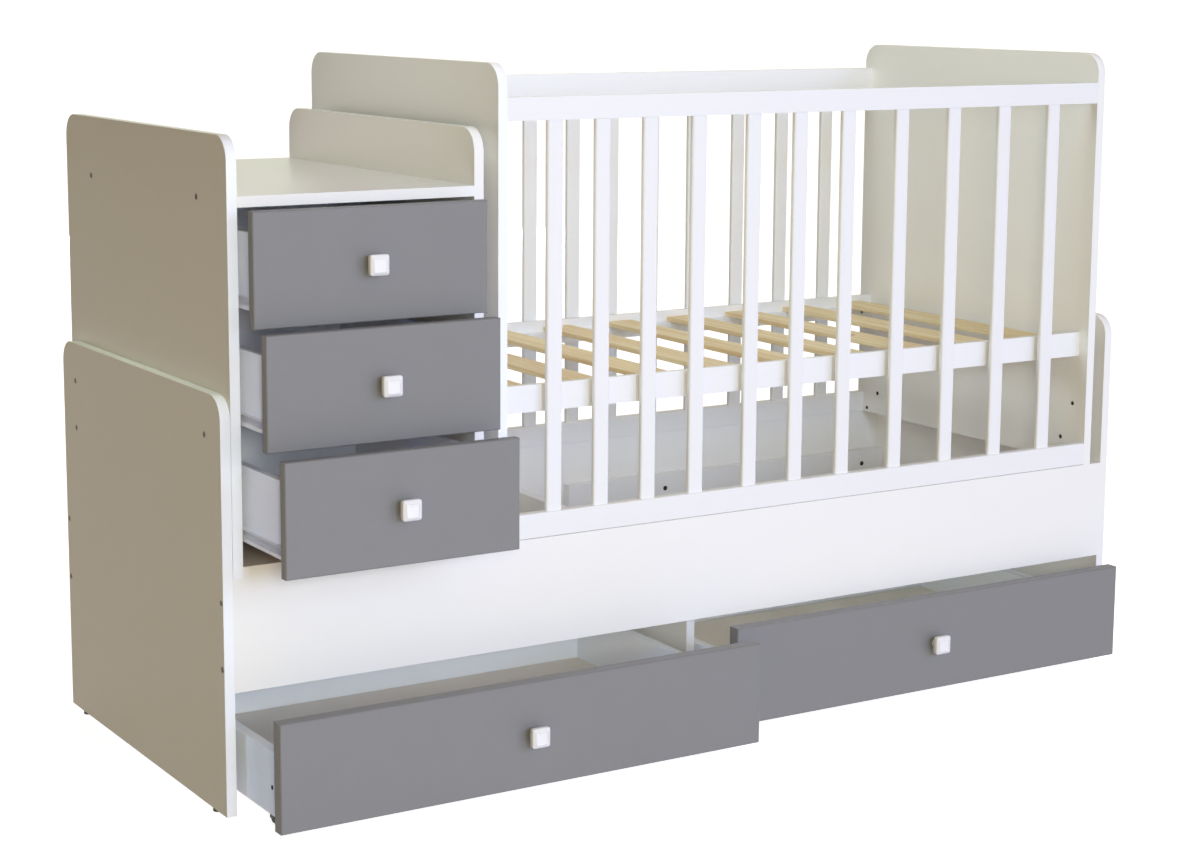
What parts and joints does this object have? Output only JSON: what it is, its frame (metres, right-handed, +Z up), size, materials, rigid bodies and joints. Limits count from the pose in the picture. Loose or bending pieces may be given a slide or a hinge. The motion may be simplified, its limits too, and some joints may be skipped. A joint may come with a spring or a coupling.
{
  "type": "convertible crib",
  "caption": "Convertible crib: low bed frame carrying a chest of drawers with a changing top and a barred crib, with rolling drawers under the bed.",
  "frame": {"origin": "centre of the overall box on the floor, with the drawers standing open as pictured", "axes": "+X along the length towards the crib's right end, +Y from the front to the rear, +Z up from the floor"},
  "size_m": [1.735, 0.83, 1.1045],
  "materials": {
    "white_laminate": "white laminated chipboard with matching edging",
    "white_painted_wood": "white lacquered wood",
    "grey_laminate": "grey laminated board with bevelled edge",
    "white_box_board": "cool white foil-wrapped drawer board",
    "white_sheet": "thin fibreboard, white on one face",
    "pine": "planed natural pine",
    "beech": "turned beech",
    "white_steel": "white powder-coated rolled steel",
    "black_steel": "black coated folded steel",
    "zinc_steel": "zinc plated",
    "brown_plastic": "steel screws with dark brown heads",
    "white_plastic": "glossy white moulded knob",
    "black_plastic": "moulded black plastic"
  },
  "bodies": {
    "frame": {"left_end_panel": "white_laminate", "right_end_panel": "white_laminate", "front_rail": "white_laminate", "rear_rail": "white_laminate", "centre_partition": "white_laminate", "ledger_strips": "white_painted_wood", "floor_glides": "black_plastic", "chest_left_side": "white_laminate", "chest_right_side": "white_laminate", "chest_top": "white_laminate", "chest_bottom": "white_laminate", "chest_back_sheet": "white_sheet", "chest_fixed_runners": "white_steel", "crib_left_end": "white_laminate", "crib_right_end": "white_laminate", "gate_top_rail": "white_painted_wood", "gate_bottom_rail": "white_painted_wood", "gate_bars": "white_painted_wood", "rear_top_rail": "white_painted_wood", "rear_bottom_rail": "white_painted_wood", "rear_bars": "white_painted_wood", "base_side_rails": "white_painted_wood", "base_slats": "pine", "base_bolts": "zinc_steel", "wood_screws": "brown_plastic", "crib_dowels": "beech"},
    "chest_drawer_upper": {"chest_drawer_upper_front": "grey_laminate", "chest_drawer_upper_box": "white_box_board", "chest_drawer_upper_bottom": "white_sheet", "chest_drawer_upper_knob": "white_plastic", "chest_drawer_upper_runners": "white_steel"},
    "chest_drawer_middle": {"chest_drawer_middle_front": "grey_laminate", "chest_drawer_middle_box": "white_box_board", "chest_drawer_middle_bottom": "white_sheet", "chest_drawer_middle_knob": "white_plastic", "chest_drawer_middle_runners": "white_steel"},
    "chest_drawer_lower": {"chest_drawer_lower_front": "grey_laminate", "chest_drawer_lower_box": "white_box_board", "chest_drawer_lower_bottom": "white_sheet", "chest_drawer_lower_knob": "white_plastic", "chest_drawer_lower_runners": "white_steel"},
    "bed_drawer_left": {"bed_drawer_left_front": "grey_laminate", "bed_drawer_left_box": "white_box_board", "bed_drawer_left_bottom": "white_sheet", "bed_drawer_left_knob": "white_plastic", "bed_drawer_left_bearers": "white_box_board", "bed_drawer_left_castor_brackets": "black_steel"},
    "bed_drawer_left_front_wheels": {"bed_drawer_left_front_wheels": "black_plastic"},
    "bed_drawer_left_rear_wheels": {"bed_drawer_left_rear_wheels": "black_plastic"},
    "bed_drawer_right": {"bed_drawer_right_front": "grey_laminate", "bed_drawer_right_box": "white_box_board", "bed_drawer_right_bottom": "white_sheet", "bed_drawer_right_knob": "white_plastic", "bed_drawer_right_bearers": "white_box_board", "bed_drawer_right_castor_brackets": "black_steel"},
    "bed_drawer_right_front_wheels": {"bed_drawer_right_front_wheels": "black_plastic"},
    "bed_drawer_right_rear_wheels": {"bed_drawer_right_rear_wheels": "black_plastic"}
  },
  "joints": [
    {"name": "chest_upper_slide", "type": "slide", "parent": "frame", "child": "chest_drawer_upper", "axis": [0, -1, 0], "range_m": [-0.046, 0.329]},
    {"name": "chest_middle_slide", "type": "slide", "parent": "frame", "child": "chest_drawer_middle", "axis": [0, -1, 0], "range_m": [-0.086, 0.289]},
    {"name": "chest_lower_slide", "type": "slide", "parent": "frame", "child": "chest_drawer_lower", "axis": [0, -1, 0], "range_m": [-0.143, 0.232]},
    {"name": "bed_left_slide", "type": "slide", "parent": "frame", "child": "bed_drawer_left", "axis": [0, -1, 0], "range_m": [-0.146, 0.354]},
    {"name": "bed_left_front_wheels_roll", "type": "hinge", "parent": "bed_drawer_left", "child": "bed_drawer_left_front_wheels", "pos_m": [-0.4275, -0.285, 0.012], "axis": [1, 0, 0], "range_deg": [-698.1, 1691.23]},
    {"name": "bed_left_rear_wheels_roll", "type": "hinge", "parent": "bed_drawer_left", "child": "bed_drawer_left_rear_wheels", "pos_m": [-0.4275, 0.047, 0.012], "axis": [1, 0, 0], "range_deg": [-698.1, 1691.23]},
    {"name": "bed_right_slide", "type": "slide", "parent": "frame", "child": "bed_drawer_right", "axis": [0, -1, 0], "range_m": [-0.058, 0.442]},
    {"name": "bed_right_front_wheels_roll", "type": "hinge", "parent": "bed_drawer_right", "child": "bed_drawer_right_front_wheels", "pos_m": [0.4275, -0.197, 0.012], "axis": [1, 0, 0], "range_deg": [-277.93, 2111.39]},
    {"name": "bed_right_rear_wheels_roll", "type": "hinge", "parent": "bed_drawer_right", "child": "bed_drawer_right_rear_wheels", "pos_m": [0.4275, 0.135, 0.012], "axis": [1, 0, 0], "range_deg": [-277.93, 2111.39]}
  ],
  "couplings": [
    {"joint": "bed_left_front_wheels_roll", "follows": "bed_left_slide", "rad_per_m": 83.333},
    {"joint": "bed_left_rear_wheels_roll", "follows": "bed_left_slide", "rad_per_m": 83.333},
    {"joint": "bed_right_front_wheels_roll", "follows": "bed_right_slide", "rad_per_m": 83.333},
    {"joint": "bed_right_rear_wheels_roll", "follows": "bed_right_slide", "rad_per_m": 83.333}
  ]
}
